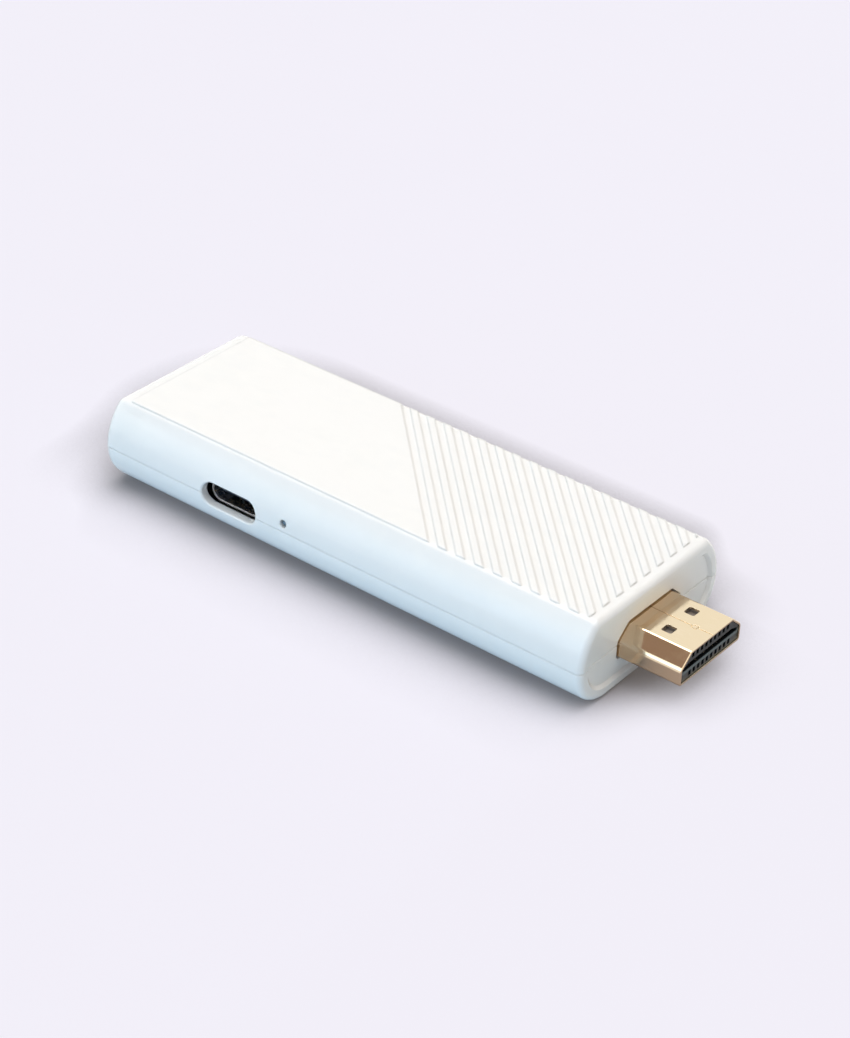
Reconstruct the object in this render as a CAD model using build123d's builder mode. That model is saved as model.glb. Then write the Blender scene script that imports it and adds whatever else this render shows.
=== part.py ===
from build123d import *
from math import sqrt
import os

os.makedirs("parts", exist_ok=True)

# A streaming stick that plugs straight into a television. All sizes are in millimetres.
# X runs along the stick towards the video plug, the port side faces -Y and Z is up.
# The origin is below the middle of the whole length, on the surface that the stick lies on.

# Housing outside
housing_length = 84.0
housing_width = 31.6
housing_height = 13.3  # with the raised panel
waist_height = 6.3  # the widest level
parting_height = 6.7  # where the two shells part
parting_chamfer = 0.3
crease_half_width = 12.6  # where the flat top meets the sloping sides
crease_blend = 1.3
far_edge_radius = 1.8
rim_radius = 0.9
rim_width = 1.65
recess_depth = 0.4
recess_slope = 0.5
wall = 1.3

# Raised panel on the top: plain in one half, cut into slanting ribs in the other
panel_rise = 0.15
panel_border = 1.65  # to the plug's end of the housing
panel_far_border = 2.65
panel_lip = 0.1  # to the crease
panel_corner = 0.5
groove_pitch = 2.14
panel_groove = 1.1
groove_start = 44.9  # from the far end to the first groove, on the centre line
groove_slant = 45

# Video plug
plug_reach = 9.2  # from the rim to the plug's front
plug_width = 13.9
plug_top_width = 9.6
plug_height = 4.45
plug_side = 2.6
plug_corner = 0.5
plug_shoulder = 1.0  # radius where the sides turn inwards
plug_bottom = 4.5
plug_sheet = 0.3
plug_edge = 0.1  # bevel round the front of the sheet
plug_gap = 0.3  # between the plug and the opening in the end wall
plug_depth = 4.0  # from the rim back to the plug's rear face
window_size = 1.6
window_corner = 0.3
window_pocket = 0.4
window_spacing = 5.2
window_setback = 4.95
plug_seam = 0.12
dovetail_setback = 2.8
dovetail_size = 1.0
dovetail_angle = 75
insulator_setback = 0.2
slot_width = 12.6
slot_top_width = 10.0
slot_height = 0.9
slot_depth = 7.5
contact_pitch = 1.0
contact_width = 0.4
contact_sheet = 0.2
contact_setback = 0.5
contact_tail = 1.8
channel_width = 0.55
channel_height = 0.75
notch_height = 0.8
notch_offset = 1.28  # from the plug's middle to a notch's middle
notch_depth = 1.2
upper_contact_count = 9
lower_contact_count = 10
collar_sheet = 0.4
collar_length = 1.3
collar_foot = 2.6
collar_foot_width = 1.6

# Power port
port_from_far_end = 24.05
port_height = 6.75  # centre of the port above the bottom
port_opening_width = 10.0
port_opening_height = 3.6
port_chamfer = 0.2
port_recess = 1.8
port_width = 8.94
port_thickness = 3.26
port_depth = 7.35
port_sheet = 0.3
tongue_width = 6.69
tongue_thickness = 0.7
tongue_corner = 0.23
tongue_setback = 0.9
port_block = 2.4
shoulder_width = 7.4
shoulder_thickness = 1.5
shoulder_length = 1.0
pin_pitch = 0.5
pin_width = 0.25
pin_sheet = 0.08
pin_count = 12
pin_setback = 0.4
pin_bend = 0.6  # from the port's rear end
pin_tail = 0.9
ear_reach = 1.5
ear_width = 1.1
ear_sheet = 0.3
ear_spacing = 2.6

# Reset switch
switch_from_far_end = 34.1
hole_diameter = 1.2
switch_width = 3.6
switch_depth = 2.2
switch_height = 1.45
switch_overhang = 0.4  # past the board's edge
switch_wall = 0.35
plunger_axis = 0.5  # above the board
plunger_nose = 0.8  # diameter
plunger_sunk = 0.45  # tip below the outer surface
plunger_edge = 0.16
plunger_head = 0.5
plunger_stem = 1.1
plunger_travel = 0.25
leaf_sheet = 0.06
cover_sheet = 0.15

# Circuit board and what holds it
board_thickness = 1.0
board_side_gap = 2.0
board_far_gap = 1.5
board_corner = 1.5
board_relief = 0.2
boss_diameter = 3.8
screw_diameter = 1.6
screw_head = 3.0
screw_head_height = 0.8
screw_length = 5.5
screw_cross = 1.8
screw_recess = 0.45
screw_clearance = 0.1
pin_diameter = 1.4
post_diameter = 3.2
post_from_far_end = 7.2
post_spacing = 17.0
hold_down_gap = 0.1

# Chips and parts on the board: length, width and height, then the gaps beside them
processor_size = 14.0
processor_height = 1.2
memory_length = 8.0
memory_width = 10.6
memory_height = 1.0
memory_spacing = 11.4
chip_gap = 1.4  # between the processor and the memory
storage_length = 13.0
storage_width = 11.5
storage_height = 1.0
power_chip_size = 5.0
power_chip_height = 0.8
power_chip_gap = 1.4  # beside the spreader's foot
power_chip_offset = 3.5  # from the stick's middle line
inductor_size = 3.0
inductor_height = 1.5
inductor_corner = 0.6
inductor_core = 1.8
inductor_spacing = 3.8
inductor_edge_gap = 0.9  # to the board's edge
inductor_count = 3
module_size = 12.0
module_board = 0.8
module_from_far_end = 18.0
module_edge_gap = 1.5
edge_pad_count = 8
edge_pad_size = 0.66
shield_size = 10.6
shield_height = 1.5
shield_sheet = 0.15
vent_rows = 3
vent_pitch = 2.65
vent_size = 0.9
crystal_length = 3.2
crystal_width = 2.5
crystal_height = 0.7
crystal_gap = 1.5  # beside the storage chip
antenna_length = 9.0
antenna_width = 2.0
antenna_height = 1.2
antenna_edge_gap = 1.0
bulk_length = 3.5
bulk_width = 2.8
bulk_height = 1.9
bulk_spacing = 4.2
bulk_edge_gap = 1.4
bulk_port_gap = 1.75
small_length = 1.6
small_width = 0.8
small_height = 0.8
small_spacing = 2.4
small_count = 5
protector_length = 2.5
protector_width = 1.0
protector_height = 0.5
protector_spacing = 2.8
protector_count = 4
chip_edge = 0.12
chip_mark = 0.6
chip_mark_inset = 1.0

# Heat spreader and pads
pad_thickness = 0.8
spreader_sheet = 0.8
spreader_margin = 1.5
spreader_width = 21.0
spreader_foot = 4.0
spreader_foot_width = 6.5
spreader_bend = 0.9
spreader_gap = 0.6  # between its foot and the plug's collar

# Snap hooks and the lap joint between the shells
lap_height = 0.8
lap_thickness = 0.55
lap_gap = 0.06
hook_count = 3
hook_from_far_end = 9.5
hook_from_rim = 11.5
hook_width = 4.0
hook_thickness = 0.8
hook_back = 0.75
hook_drop = 2.0
hook_nose = 0.6
hook_gap = 0.15

# Small gaps between pieces that are pushed or laid together
fit_gap = 0.05
leg_gap = 0.2  # round soldered legs, both sides together
cut = 1.0  # how far a cutting shape runs past a face

# Places worked out from the sizes above
overall_length = housing_length + plug_reach
far_x = -overall_length / 2
rim_x = far_x + housing_length
front_x = rim_x + plug_reach
end_face_x = rim_x - recess_depth
inner_far_x = far_x + wall
inner_near_x = end_face_x - wall
body_height = housing_height - panel_rise
roof_height = body_height - wall
plug_top = plug_bottom + plug_height
plug_middle = plug_bottom + plug_height / 2
plug_rear_x = rim_x - plug_depth
board_top = plug_middle + board_thickness / 2
board_bottom = plug_middle - board_thickness / 2
board_half_width = housing_width / 2 - wall - board_side_gap
board_far_x = inner_far_x + board_far_gap
board_near_x = plug_rear_x - fit_gap
port_x = far_x + port_from_far_end
port_front_y = -housing_width / 2 + port_recess
port_rear_y = port_front_y + port_depth
switch_x = far_x + switch_from_far_end
switch_front_y = -board_half_width - switch_overhang
switch_rear_y = switch_front_y + switch_depth
plunger_height = board_top + plunger_axis
post_x = far_x + post_from_far_end
spreader_near_x = plug_rear_x - collar_foot - spreader_gap - spreader_foot
memory_x = spreader_near_x - spreader_margin - memory_length / 2
processor_x = memory_x - (memory_length + processor_size) / 2 - chip_gap
processor_top = board_top + processor_height
spreader_bottom = processor_top + pad_thickness
spreader_far_x = processor_x - processor_size / 2 - spreader_margin
screw_y = spreader_width / 2 - spreader_foot_width / 2
screw_places = [
    (spreader_far_x - spreader_foot / 2, screw_y),
    (spreader_near_x + spreader_foot / 2, -screw_y),
]
post_places = [(post_x, -post_spacing / 2), (post_x, post_spacing / 2)]


def housing_section(x, inset=0.0, roof=body_height):
    """Section across the stick at x: flat top, sloping upper sides, half-round lower sides."""
    with BuildSketch(Plane.YZ.offset(x)) as section:
        with BuildLine():
            base = Line((0, 0), (housing_width / 2 - waist_height, 0))
            lower = TangentArc(base @ 1, (housing_width / 2, waist_height), tangent=(1, 0))
            upper = TangentArc(lower @ 1, (crease_half_width, body_height), tangent=(0, 1))
            Line(upper @ 1, (0, body_height))
            mirror(about=Plane.YZ)
        make_face()
        if inset:
            offset(amount=-inset)
        creases = [v for v in section.vertices().group_by(Axis.Y)[-1] if abs(v.X) > cut]
        fillet(creases, radius=crease_blend)
        if roof < body_height:
            with Locations((0, (roof + body_height) / 2)):
                Rectangle(housing_width, body_height - roof, mode=Mode.SUBTRACT)
    return section.sketch


def plug_section(x, grow=0.0):
    """D-shaped section of the video plug at x, wide side down, grown or shrunk all round."""
    with BuildSketch(Plane.YZ.offset(x)) as section:
        with BuildLine():
            Polyline(
                (-plug_width / 2, plug_bottom),
                (plug_width / 2, plug_bottom),
                (plug_width / 2, plug_bottom + plug_side),
                (plug_top_width / 2, plug_top),
                (-plug_top_width / 2, plug_top),
                (-plug_width / 2, plug_bottom + plug_side),
                close=True,
            )
        make_face()
        fillet(section.vertices().group_by(Axis.Y)[1], radius=plug_shoulder)
        levels = section.vertices().group_by(Axis.Y)
        fillet(levels[0] + levels[-1], radius=plug_corner)
        if grow:
            offset(amount=grow)
    return section.sketch


def port_section(y, width, thickness):
    """Round-ended section of the power port at y."""
    with BuildSketch(Plane.XZ.offset(-y)) as section:
        with Locations((port_x, port_height)):
            SlotOverall(width, thickness)
    return section.sketch


def cut_port_opening():
    """Cut the side opening in front of the power port, through the wall."""
    opening = port_section(-housing_width / 2 - cut, port_opening_width, port_opening_height)
    extrude(opening, amount=-(port_recess + wall + cut), mode=Mode.SUBTRACT)


def cut_plug_opening():
    """Cut the opening that the video plug stands through, in the end wall."""
    depth = rim_x - inner_near_x + 2 * cut
    extrude(plug_section(inner_near_x - cut, plug_gap), amount=depth, mode=Mode.SUBTRACT)


def cut_reset_hole():
    """Drill the small hole in front of the reset plunger, through the wall."""
    with BuildSketch(Plane.XZ.offset(housing_width / 2 + cut)) as hole:
        with Locations((switch_x, plunger_height)):
            Circle(hole_diameter / 2)
    extrude(hole.sketch, amount=-(wall + 2 * cut), mode=Mode.SUBTRACT)


# Whole housing, hollow, before it is parted into two shells
with BuildPart() as housing_blank:
    extrude(housing_section(far_x), amount=housing_length)
    fillet(edges().group_by(Axis.X)[0], radius=far_edge_radius)
    fillet(edges().group_by(Axis.X)[-1], radius=rim_radius)
    recess_edges = [
        housing_section(rim_x, rim_width),
        housing_section(end_face_x, rim_width + recess_slope),
    ]
    loft(recess_edges, ruled=True, mode=Mode.SUBTRACT)
    extrude(
        housing_section(inner_far_x, wall, roof_height),
        amount=inner_near_x - inner_far_x,
        mode=Mode.SUBTRACT,
    )
    cut_port_opening()
    port_edges = edges().filter_by_position(Axis.Y, -housing_width / 2, port_front_y - wall / 2)
    port_edges = port_edges.filter_by_position(
        Axis.X, port_x - port_opening_width / 2, port_x + port_opening_width / 2
    )
    chamfer(port_edges, length=port_chamfer)

# Sketch of the raised panel: a rounded rectangle with slanting grooves through it
panel_length = housing_length - panel_border - panel_far_border
panel_half_width = crease_half_width - panel_lip
groove_reach = panel_length + 2 * panel_half_width
groove_room = housing_length - panel_border + panel_half_width - groove_start
groove_total = int(groove_room / (groove_pitch * sqrt(2)))
with BuildSketch(Plane.XY.offset(housing_height)) as panel:
    with Locations((far_x + panel_far_border + panel_length / 2, 0)):
        RectangleRounded(panel_length, 2 * panel_half_width, panel_corner)
    with Locations(Location((far_x + groove_start, 0, 0), (0, 0, groove_slant))):
        with Locations([(groove_pitch * i, 0) for i in range(groove_total + 1)]):
            Rectangle(panel_groove, groove_reach, mode=Mode.SUBTRACT)

# Snap hook of the upper shell, and the pocket for it in the lower one
hook_y = housing_width / 2 - wall - hook_back
hook_foot = parting_height - hook_drop
hook_top = roof_height - wall / 2  # inside the sloping wall
hook_spacing = (housing_length - hook_from_far_end - hook_from_rim) / (hook_count - 1)
hook_places = [far_x + hook_from_far_end + i * hook_spacing for i in range(hook_count)]


def hook_section(x, gap=0.0):
    """Section of one snap hook on the +Y side, with its nose outwards, grown by a gap."""
    with BuildSketch(Plane.YZ.offset(x)) as section:
        with BuildLine():
            Polyline(
                (hook_y - hook_thickness - gap, hook_top),
                (hook_y - hook_thickness - gap, hook_foot - gap),
                (hook_y - gap, hook_foot - gap),
                (hook_y + hook_nose + gap, hook_foot + hook_nose),
                (hook_y + hook_nose + gap, hook_foot + hook_nose + fit_gap + gap),
                (hook_y + gap, hook_foot + hook_nose + fit_gap + gap),
                (hook_y + gap, hook_top),
                close=True,
            )
        make_face()
        mirror(about=Plane.YZ)
    return section.sketch


# Inner lip of the lower shell, which the upper shell laps over
lip_inset = wall - lap_thickness
with BuildPart() as lip_ring:
    extrude(
        housing_section(far_x + lip_inset, lip_inset),
        amount=end_face_x - far_x - 2 * lip_inset,
    )
    extrude(
        housing_section(inner_far_x, wall, roof_height),
        amount=inner_near_x - inner_far_x,
        mode=Mode.SUBTRACT,
    )
    split(bisect_by=Plane.XY.offset(parting_height), keep=Keep.TOP)
    split(bisect_by=Plane.XY.offset(parting_height + lap_height), keep=Keep.BOTTOM)

# Rebate of the upper shell round that lip
rebate_inset = lip_inset - lap_gap
with BuildPart() as lip_rebate:
    extrude(
        housing_section(far_x + rebate_inset, rebate_inset),
        amount=end_face_x - far_x - 2 * rebate_inset,
    )
    split(bisect_by=Plane.XY.offset(parting_height), keep=Keep.TOP)
    split(bisect_by=Plane.XY.offset(parting_height + lap_height + lap_gap), keep=Keep.BOTTOM)

# Lower shell: tray with a raised lip, screw bosses, locating posts and hook pockets
with BuildPart() as bottom_shell:
    add(housing_blank.part)
    split(bisect_by=Plane.XY.offset(parting_height), keep=Keep.BOTTOM)
    # Fine bevel that shows the parting line across the end face and its rim
    parting_edges = edges().filter_by_position(
        Axis.Z, parting_height - fit_gap, parting_height + fit_gap
    )
    chamfer(
        parting_edges.filter_by_position(Axis.X, end_face_x - fit_gap, rim_x + fit_gap),
        length=parting_chamfer,
    )
    add(lip_ring.part)
    cut_plug_opening()
    cut_port_opening()
    cut_reset_hole()
    for x in hook_places:
        pocket = hook_section(x - hook_width / 2 - hook_gap, hook_gap)
        extrude(pocket, amount=hook_width + 2 * hook_gap, mode=Mode.SUBTRACT)
    with BuildSketch(Plane.XY.offset(wall)):
        with Locations(screw_places):
            Circle(boss_diameter / 2)
        with Locations(post_places):
            Circle(post_diameter / 2)
    extrude(amount=board_bottom - wall)
    with BuildSketch(Plane.XY.offset(board_bottom)):
        with Locations(screw_places):
            Circle(screw_diameter / 2 + fit_gap)
    extrude(amount=-(board_bottom - wall), mode=Mode.SUBTRACT)
    with BuildSketch(Plane.XY.offset(board_bottom)):
        with Locations(post_places):
            Circle(pin_diameter / 2)
    extrude(amount=board_thickness + pin_diameter / 2)
bottom_shell.part.label = "bottom_shell"
export_step(bottom_shell.part, "parts/bottom_shell.step")

# Upper shell: ribbed panel, rebate, snap hooks and posts that hold the board down
with BuildPart() as top_shell:
    add(housing_blank.part)
    split(bisect_by=Plane.XY.offset(parting_height), keep=Keep.TOP)
    extrude(panel.sketch, amount=-(panel_rise + wall / 2))
    add(lip_rebate.part, mode=Mode.SUBTRACT)
    for x in hook_places:
        extrude(hook_section(x - hook_width / 2), amount=hook_width)
    cut_plug_opening()
    with BuildSketch(Plane.XY.offset(roof_height)):
        with Locations(post_places):
            Circle(post_diameter / 2)
            Circle(pin_diameter / 2 + screw_clearance, mode=Mode.SUBTRACT)
    extrude(amount=-(roof_height - board_top - hold_down_gap))
    cut_reset_hole()
top_shell.part.label = "top_shell"
export_step(top_shell.part, "parts/top_shell.step")

# Shell of the video plug: sheet formed round the insulator, with its two latch windows
plug_rear_to_front = front_x - plug_rear_x
with BuildPart() as hdmi_shell:
    extrude(plug_section(plug_rear_x), amount=plug_rear_to_front)
    chamfer(edges().group_by(Axis.X)[-1], length=plug_edge)
    extrude(plug_section(plug_rear_x, -plug_sheet), amount=plug_rear_to_front, mode=Mode.SUBTRACT)
    with BuildSketch(Plane.XY.offset(plug_top)):
        with Locations((front_x - window_setback, 0)):
            with GridLocations(0, window_spacing, 1, 2):
                RectangleRounded(window_size, window_size, window_corner)
    extrude(amount=-plug_sheet, mode=Mode.SUBTRACT)
    # Seam where the sheet meets itself, with the dovetail that locks it
    with BuildSketch(Plane.XY.offset(plug_top)) as seam:
        with Locations(((plug_rear_x + front_x) / 2, 0)):
            Rectangle(plug_rear_to_front, plug_seam)
        with Locations((front_x - dovetail_setback, 0)):
            Trapezoid(dovetail_size, dovetail_size, dovetail_angle, rotation=90)
            Trapezoid(
                dovetail_size - 2 * plug_seam,
                dovetail_size - 2 * plug_seam,
                dovetail_angle,
                rotation=90,
                mode=Mode.SUBTRACT,
            )
    extrude(amount=-plug_seam, mode=Mode.SUBTRACT)
hdmi_shell.part.label = "hdmi_shell"
export_step(hdmi_shell.part, "parts/hdmi_shell.step")

# Insulator of the plug: a slot for the socket's tongue, with a channel and a notch for each contact
insulator_front_x = front_x - insulator_setback
insulator_inset = -(plug_sheet + fit_gap)
upper_row_y = [(i - (upper_contact_count - 1) / 2) * contact_pitch for i in range(upper_contact_count)]
lower_row_y = [(i - (lower_contact_count - 1) / 2) * contact_pitch for i in range(lower_contact_count)]
channel_middle = board_thickness / 2 - fit_gap + channel_height / 2
contact_front_x = insulator_front_x - contact_setback
with BuildPart() as hdmi_insulator:
    extrude(plug_section(plug_rear_x, insulator_inset), amount=insulator_front_x - plug_rear_x)
    with BuildSketch(Plane.YZ.offset(insulator_front_x)):
        with BuildLine():
            Polyline(
                (-slot_width / 2, plug_middle - slot_height / 2),
                (slot_width / 2, plug_middle - slot_height / 2),
                (slot_width / 2, plug_middle),
                (slot_top_width / 2, plug_middle + slot_height / 2),
                (-slot_top_width / 2, plug_middle + slot_height / 2),
                (-slot_width / 2, plug_middle),
                close=True,
            )
        make_face()
    extrude(amount=-slot_depth, mode=Mode.SUBTRACT)
    # Notches that show in the front, above and below the slot
    with BuildSketch(Plane.YZ.offset(insulator_front_x)):
        with Locations([(y, plug_middle + notch_offset) for y in upper_row_y]):
            Rectangle(channel_width, notch_height)
        with Locations([(y, plug_middle - notch_offset) for y in lower_row_y]):
            Rectangle(channel_width, notch_height)
    extrude(amount=-notch_depth, mode=Mode.SUBTRACT)
    # Channels for the contacts, which start behind the front lip
    with BuildSketch(Plane.YZ.offset(contact_front_x + fit_gap)):
        with Locations([(y, plug_middle + channel_middle) for y in upper_row_y]):
            Rectangle(channel_width, channel_height)
        with Locations([(y, plug_middle - channel_middle) for y in lower_row_y]):
            Rectangle(channel_width, channel_height)
    extrude(amount=plug_rear_x - contact_front_x - fit_gap, mode=Mode.SUBTRACT)
    # Shallow pockets for the socket's latches, under the windows of the shell
    with BuildSketch(Plane.XY.offset(plug_top + insulator_inset)):
        with Locations((front_x - window_setback, 0)):
            with GridLocations(0, window_spacing, 1, 2):
                Rectangle(window_size, window_size)
    extrude(amount=-window_pocket, mode=Mode.SUBTRACT)
hdmi_insulator.part.label = "hdmi_insulator"
export_step(hdmi_insulator.part, "parts/hdmi_insulator.step")

# Plug contacts: one row lies on the board's top, the other under it
contact_length = contact_front_x - plug_rear_x + contact_tail
with BuildPart() as hdmi_upper_contacts:
    with BuildSketch(Plane.YZ.offset(contact_front_x)):
        with Locations([(y, board_top + contact_sheet / 2) for y in upper_row_y]):
            Rectangle(contact_width, contact_sheet)
    extrude(amount=-contact_length)
hdmi_upper_contacts.part.label = "hdmi_upper_contacts"
export_step(hdmi_upper_contacts.part, "parts/hdmi_upper_contacts.step")

with BuildPart() as hdmi_lower_contacts:
    with BuildSketch(Plane.YZ.offset(contact_front_x)):
        with Locations([(y, board_bottom - contact_sheet / 2) for y in lower_row_y]):
            Rectangle(contact_width, contact_sheet)
    extrude(amount=-contact_length)
hdmi_lower_contacts.part.label = "hdmi_lower_contacts"
export_step(hdmi_lower_contacts.part, "parts/hdmi_lower_contacts.step")

# Collar that holds the plug's rear end and is pinned to the board
collar_inner_y = plug_width / 2 + fit_gap
collar_foot_y = collar_inner_y + collar_foot_width / 2
collar_pin_x = plug_rear_x - collar_foot + collar_foot_width / 2
collar_pin_places = [(collar_pin_x, -collar_foot_y), (collar_pin_x, collar_foot_y)]
with BuildPart() as hdmi_collar:
    extrude(plug_section(plug_rear_x, fit_gap + collar_sheet), amount=collar_length)
    extrude(plug_section(plug_rear_x, fit_gap), amount=collar_length, mode=Mode.SUBTRACT)
    with BuildSketch(Plane.XY.offset(board_top)):
        with Locations((plug_rear_x + (collar_length - collar_foot) / 2, 0)):
            with GridLocations(0, 2 * collar_foot_y, 1, 2):
                Rectangle(collar_length + collar_foot, collar_foot_width)
    extrude(amount=collar_sheet)
    with BuildSketch(Plane.XY.offset(plug_middle - plug_side / 2)):
        with Locations((plug_rear_x + collar_length / 2, 0)):
            with GridLocations(0, 2 * collar_inner_y + collar_sheet, 1, 2):
                Rectangle(collar_length, collar_sheet)
    extrude(amount=board_top + collar_sheet - (plug_middle - plug_side / 2))
    with BuildSketch(Plane.XY.offset(board_top)):
        with Locations(collar_pin_places):
            Rectangle(collar_sheet * 2, collar_sheet)
    extrude(amount=-(board_thickness + collar_sheet))
hdmi_collar.part.label = "hdmi_collar"
export_step(hdmi_collar.part, "parts/hdmi_collar.step")

# Shell of the power port: a round-ended tube with four soldered ears
ear_pin_x = port_width / 2 + ear_reach - ear_sheet
ear_middle_y = (port_rear_y - board_half_width) / 2
ear_places = [
    (port_x + side * ear_pin_x, ear_middle_y + end * ear_spacing / 2)
    for side in (-1, 1)
    for end in (-1, 1)
]
with BuildPart() as usb_shell:
    extrude(port_section(port_front_y, port_width, port_thickness), amount=-port_depth)
    with BuildSketch(Plane.XY.offset(board_top)):
        with Locations((port_x, ear_middle_y)):
            with GridLocations(0, ear_spacing, 1, 2):
                Rectangle(port_width + 2 * ear_reach, ear_width)
    extrude(amount=ear_sheet)
    with BuildSketch(Plane.XY.offset(board_top)):
        with Locations(ear_places):
            Rectangle(ear_sheet, ear_width)
    extrude(amount=-(board_thickness + ear_sheet))
    inner_width = port_width - 2 * port_sheet
    inner_thickness = port_thickness - 2 * port_sheet
    tube = port_section(port_front_y, inner_width, inner_thickness)
    extrude(tube, amount=-port_depth, mode=Mode.SUBTRACT)
usb_shell.part.label = "usb_shell"
export_step(usb_shell.part, "parts/usb_shell.step")


def pin_outline(side, gap=0.0):
    """Side view of one port contact: along the tongue, down inside the block, out over the board."""
    run = port_height + side * tongue_thickness / 2
    pad = board_top if side > 0 else board_bottom
    front = port_front_y + tongue_setback + pin_setback
    bend = port_rear_y - pin_bend
    with BuildSketch(Plane.YZ.offset(port_x)) as outline:
        with BuildLine():
            Polyline(
                (front, run - side * gap),
                (bend, run - side * gap),
                (port_rear_y, pad - side * gap),
                (port_rear_y + pin_tail, pad - side * gap),
                (port_rear_y + pin_tail, pad + side * (pin_sheet + gap)),
                (port_rear_y, pad + side * (pin_sheet + gap)),
                (bend, run + side * (pin_sheet + gap)),
                (front, run + side * (pin_sheet + gap)),
                close=True,
            )
        make_face()
    return outline.sketch


def port_pin(side, gap=0.0):
    """One contact of the power port, or its channel when grown by a gap."""
    with BuildPart() as pin:
        extrude(pin_outline(side, gap), amount=pin_width / 2 + gap, both=True)
    return pin.part


pin_places = [((i - (pin_count - 1) / 2) * pin_pitch, 0, 0) for i in range(pin_count)]

# Insulator of the port: rear block, shoulder and tongue, with a channel for each contact
with BuildPart() as usb_insulator:
    block = port_section(port_rear_y, inner_width - 2 * fit_gap, inner_thickness - 2 * fit_gap)
    extrude(block, amount=port_block)
    with BuildSketch(Plane.XZ.offset(-(port_rear_y - port_block))):
        with Locations((port_x, port_height)):
            Rectangle(shoulder_width, shoulder_thickness)
    extrude(amount=shoulder_length)
    with BuildSketch(Plane.XZ.offset(-(port_rear_y - port_block))):
        with Locations((port_x, port_height)):
            RectangleRounded(tongue_width, tongue_thickness, tongue_corner)
    extrude(amount=port_depth - port_block - tongue_setback)
    with Locations(pin_places):
        add(port_pin(1, fit_gap), mode=Mode.SUBTRACT)
        add(port_pin(-1, fit_gap), mode=Mode.SUBTRACT)
usb_insulator.part.label = "usb_insulator"
export_step(usb_insulator.part, "parts/usb_insulator.step")

with BuildPart() as usb_upper_contacts:
    with Locations(pin_places):
        add(port_pin(1))
usb_upper_contacts.part.label = "usb_upper_contacts"
export_step(usb_upper_contacts.part, "parts/usb_upper_contacts.step")

with BuildPart() as usb_lower_contacts:
    with Locations(pin_places):
        add(port_pin(-1))
usb_lower_contacts.part.label = "usb_lower_contacts"
export_step(usb_lower_contacts.part, "parts/usb_lower_contacts.step")

# Body of the reset switch: a small open-topped box with a gap in front for the plunger's stem
switch_top = board_top + switch_height
switch_floor = board_top + switch_wall
switch_middle_y = (switch_front_y + switch_rear_y) / 2
cavity_width = switch_width - 2 * switch_wall
cavity_front_y = switch_front_y + switch_wall
cavity_rear_y = switch_rear_y - switch_wall
with BuildPart() as reset_switch_body:
    with BuildSketch(Plane.XY.offset(board_top)):
        with Locations((switch_x, switch_middle_y)):
            Rectangle(switch_width, switch_depth)
    extrude(amount=switch_height)
    with BuildSketch(Plane.XY.offset(switch_floor)):
        with Locations((switch_x, switch_middle_y)):
            Rectangle(cavity_width, switch_depth - 2 * switch_wall)
        with Locations((switch_x, cavity_front_y)):
            Rectangle(plunger_stem + 2 * fit_gap, 2 * (switch_wall + fit_gap))
    extrude(amount=switch_height, mode=Mode.SUBTRACT)
reset_switch_body.part.label = "reset_switch_body"
export_step(reset_switch_body.part, "parts/reset_switch_body.step")

# Sheet cover of the switch, folded down both sides to the board
with BuildPart() as reset_switch_cover:
    with BuildSketch(Plane.XZ.offset(-switch_rear_y)):
        with Locations((switch_x, board_top)):
            Rectangle(
                switch_width + 2 * (fit_gap + cover_sheet),
                switch_height + cover_sheet,
                align=(Align.CENTER, Align.MIN),
            )
            Rectangle(
                switch_width + 2 * fit_gap,
                switch_height,
                align=(Align.CENTER, Align.MIN),
                mode=Mode.SUBTRACT,
            )
    extrude(amount=switch_depth)
reset_switch_cover.part.label = "reset_switch_cover"
export_step(reset_switch_cover.part, "parts/reset_switch_cover.step")

# Plunger: a head inside the switch, a flat stem and a round nose that reaches into the hole
head_front_y = cavity_front_y + fit_gap
stem_front_y = switch_front_y - plunger_travel - fit_gap
nose_tip_y = -housing_width / 2 + plunger_sunk
head_height = switch_top - switch_floor - 2 * fit_gap
with BuildPart() as reset_plunger:
    with BuildSketch(Plane.XY.offset(switch_floor + fit_gap)):
        with Locations((switch_x, head_front_y)):
            Rectangle(cavity_width - 2 * fit_gap, plunger_head, align=(Align.CENTER, Align.MIN))
        with Locations((switch_x, stem_front_y)):
            Rectangle(
                plunger_stem,
                head_front_y - stem_front_y,
                align=(Align.CENTER, Align.MIN),
            )
    extrude(amount=head_height)
    with BuildSketch(Plane.XZ.offset(-stem_front_y)):
        with Locations((switch_x, plunger_height)):
            Circle(plunger_nose / 2)
    extrude(amount=stem_front_y - nose_tip_y)
    chamfer(faces().sort_by(Axis.Y)[0].edges(), length=plunger_edge)
reset_plunger.part.label = "reset_plunger"
export_step(reset_plunger.part, "parts/reset_plunger.step")

# Bowed leaf behind the plunger, which clicks and pushes it back
leaf_half = cavity_width / 2 - fit_gap
leaf_end_y = cavity_rear_y - fit_gap
leaf_top_y = head_front_y + plunger_head + plunger_travel + fit_gap + leaf_sheet
with BuildPart() as reset_leaf:
    with BuildSketch(Plane.XY.offset(switch_floor + fit_gap)):
        with BuildLine():
            outer = ThreePointArc(
                (switch_x - leaf_half, leaf_end_y),
                (switch_x, leaf_top_y),
                (switch_x + leaf_half, leaf_end_y),
            )
            offset(amount=leaf_sheet, side=Side.LEFT)
        make_face()
    extrude(amount=head_height)
reset_leaf.part.label = "reset_leaf"
export_step(reset_leaf.part, "parts/reset_leaf.step")

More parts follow.
